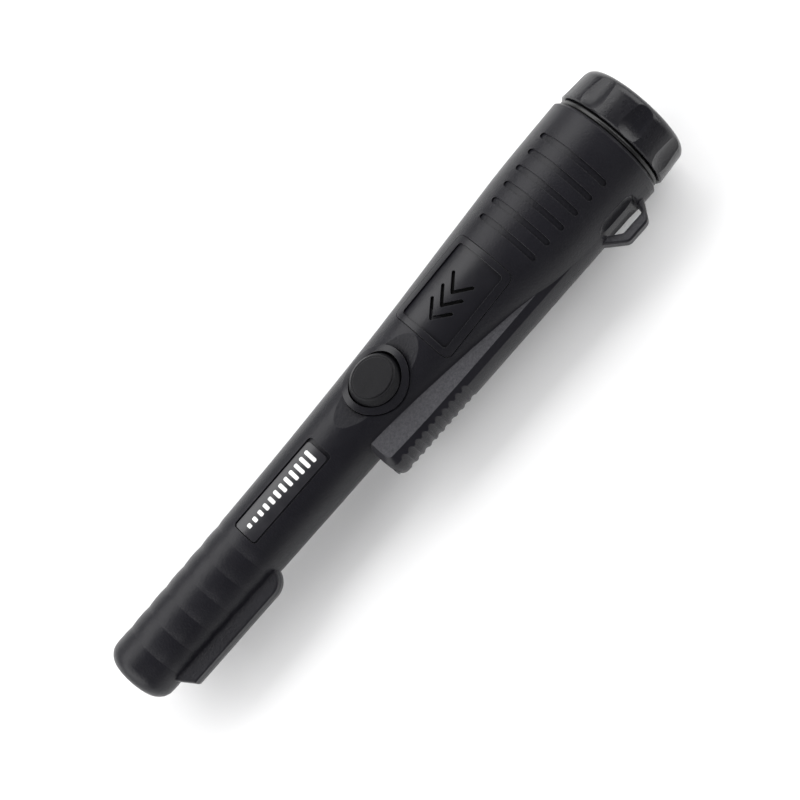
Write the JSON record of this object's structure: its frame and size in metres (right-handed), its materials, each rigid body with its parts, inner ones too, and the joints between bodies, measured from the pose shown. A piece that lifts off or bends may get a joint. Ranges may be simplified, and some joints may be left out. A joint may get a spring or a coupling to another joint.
{
  "type": "pinpointer probe",
  "caption": "Hand-held metal-detecting pinpointer probe: tapered ribbed tube with a screw cap, thumb button, chevron speaker cover, lamp keel, lanyard eye and scraping blade.",
  "frame": {"origin": "centre of the battery cap's flat outer end, on the cap's axis", "axes": "+X along the tube to the sensing tip, +Y towards the keel, lanyard eye and scraping blade, +Z out of the button face"},
  "size_m": [0.24, 0.048, 0.0418],
  "materials": {
    "housing_plastic": "fine satin texture",
    "cap_plastic": "semi-gloss",
    "cover_plastic": "satin",
    "button_rubber": "matte",
    "rubber": "matte",
    "label_plastic": "printed satin",
    "clear_lens": "clear",
    "film": "matte film",
    "foam": "open-cell foam",
    "steel": "plated",
    "aluminium": "sleeved can",
    "magnet": "sintered ferrite",
    "component_black": "moulded",
    "battery_jacket": "plain jacket",
    "wire_black": "insulated wire",
    "wire_red": "insulated wire",
    "board_green": "solder mask",
    "tray_plastic": "natural nylon",
    "trimmer_blue": "moulded",
    "copper": "enamelled winding wire"
  },
  "bodies": {
    "housing": {"housing": "housing_plastic", "neck_seal": "rubber", "speaker_cover": "cover_plastic", "speaker_membrane": "film", "speaker_basket": "steel", "speaker_cone": "film", "speaker_magnet": "magnet", "button_bezel": "cover_plastic", "button_seal": "rubber", "switch_body": "component_black", "label_plate": "label_plastic", "lamp_lens": "clear_lens", "lamp_bulb": "clear_lens", "lamp_sleeve": "rubber", "battery": "battery_jacket", "battery_terminals": "steel", "battery_clip": "component_black", "battery_lead_black": "wire_black", "battery_lead_red": "wire_red", "bay_bulkhead": "housing_plastic", "main_board": "board_green", "board_tray": "tray_plastic", "tray_screws": "steel", "board_chips": "component_black", "board_capacitors": "aluminium", "tuning_coils": "magnet", "trimmer": "trimmer_blue", "motor_can": "steel", "motor_cradle": "rubber", "speaker_leads": "wire_red", "lamp_leads": "wire_black", "motor_leads": "wire_black", "coil_leads": "copper", "ferrite_rod": "magnet", "coil_bobbin": "tray_plastic", "receive_windings": "copper", "transmit_winding": "copper", "coil_cushions": "foam", "tip_plug": "foam"},
    "cap_pad": {"battery_pad": "foam"},
    "cap": {"battery_cap": "cap_plastic"},
    "button": {"power_button": "button_rubber"},
    "plunger": {"switch_plunger": "component_black"},
    "motor_rotor": {"motor_weight": "steel"}
  },
  "joints": [
    {"name": "cap_lift", "type": "slide", "parent": "housing", "child": "cap_pad", "axis": [-1, 0, 0], "range_m": [0, 0.0151]},
    {"name": "cap_turn", "type": "hinge", "parent": "cap_pad", "child": "cap", "pos_m": [0, 0, 0], "axis": [-1, 0, 0], "range_deg": [0, 2160]},
    {"name": "button_press", "type": "slide", "parent": "housing", "child": "button", "axis": [0, 0, -1], "range_m": [0, 0.0007], "stiffness_N_per_m": 4000},
    {"name": "plunger_press", "type": "slide", "parent": "housing", "child": "plunger", "axis": [0, 0, -1], "range_m": [0, 0.00031]},
    {"name": "motor_spin", "type": "hinge", "parent": "housing", "child": "motor_rotor", "pos_m": [0.153, -0.001, 0.0043], "axis": [1, 0, 0], "continuous": true}
  ],
  "couplings": [
    {"joint": "cap_lift", "follows": "cap_turn", "m_per_rad": 0.00039789},
    {"joint": "plunger_press", "follows": "button_press", "ratio": 0.42857}
  ]
}
